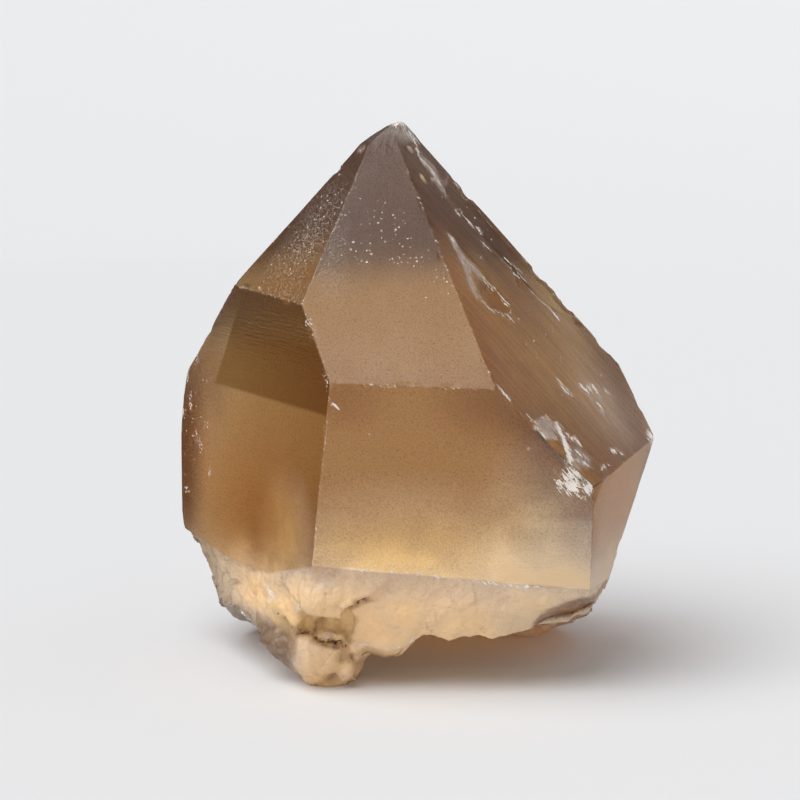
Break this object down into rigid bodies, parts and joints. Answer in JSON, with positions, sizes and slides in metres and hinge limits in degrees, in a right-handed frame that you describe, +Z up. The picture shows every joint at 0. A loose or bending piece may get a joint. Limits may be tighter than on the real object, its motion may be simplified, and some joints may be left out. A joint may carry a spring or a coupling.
{
  "type": "citrine crystal",
  "caption": "Large smoky golden quartz point with flat prism and point faces, a crushed corner and a broken, lumpy foot that it stands on.",
  "frame": {"origin": "under the middle of the crystal's box, on the surface that the crystal stands on", "axes": "+Z up along the crystal from the broken foot to the tip; the broad flat front face looks along -Y; +X to the right of someone who looks at that face"},
  "size_m": [0.075, 0.0588, 0.085],
  "materials": {
    "citrine": "frosted natural growth faces, see-through golden brown inside, paler and milky at the foot"
  },
  "bodies": {
    "root": {"citrine_crystal": "citrine"}
  },
  "joints": []
}
